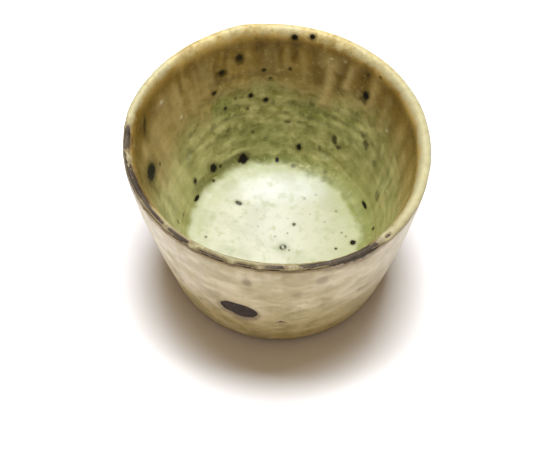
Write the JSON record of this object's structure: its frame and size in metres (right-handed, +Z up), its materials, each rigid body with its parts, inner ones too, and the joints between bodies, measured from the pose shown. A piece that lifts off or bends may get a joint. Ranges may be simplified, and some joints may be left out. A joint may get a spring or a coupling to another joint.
{
  "type": "dipping cup",
  "caption": "Hand-thrown stoneware dipping cup with a flared, slightly oval lip, a turned foot ring, an olive ash glaze inside with a pale pool on the floor, and a cream glaze outside.",
  "frame": {"origin": "centre of the foot ring's resting plane, on the throwing axis", "axes": "+Z up along the throwing axis, out of the mouth; -Y towards the side with the dark oval mark, +X to its right"},
  "size_m": [0.0838, 0.0832, 0.0567],
  "materials": {
    "clay": "dark iron-bearing stoneware, bare and matte at the lip's edge and the foot",
    "inner_glaze": "glossy olive ash glaze, brown and cream where it thins at the lip, with iron specks",
    "glaze_pool": "glossy, thick, pale cream-green glass",
    "outer_glaze": "glossy beige glaze, browner towards the foot, one dark iron mark on the front"
  },
  "bodies": {
    "root": {"clay_body": "clay", "inner_glaze": "inner_glaze", "glaze_pool": "glaze_pool", "outer_glaze": "outer_glaze"}
  },
  "joints": []
}
